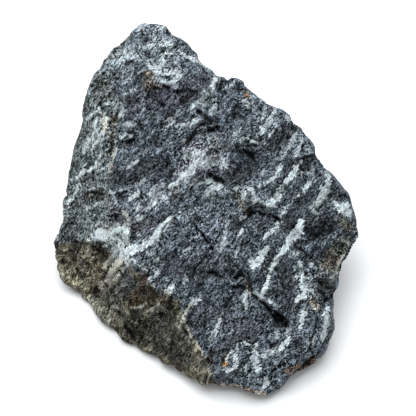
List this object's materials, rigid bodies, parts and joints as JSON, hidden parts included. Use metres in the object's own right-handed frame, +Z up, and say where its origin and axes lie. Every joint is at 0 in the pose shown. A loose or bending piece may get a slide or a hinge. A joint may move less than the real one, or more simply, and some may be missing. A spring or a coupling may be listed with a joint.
{
  "type": "zebra rock",
  "caption": "Wedge-shaped lump of dark schist with broken white bands and a brown weathered side, resting on a flat spot.",
  "frame": {"origin": "centre of the stone's box, on the ground under its flat spot", "axes": "+Z up, +Y from the low front edge towards the high peak, +X to the right of someone facing the broad face"},
  "size_m": [0.2038, 0.218, 0.1292],
  "materials": {
    "zebra_stone": "rough broken stone, dark slate grey with white bands"
  },
  "bodies": {
    "root": {"zebra_rock": "zebra_stone"}
  },
  "joints": []
}
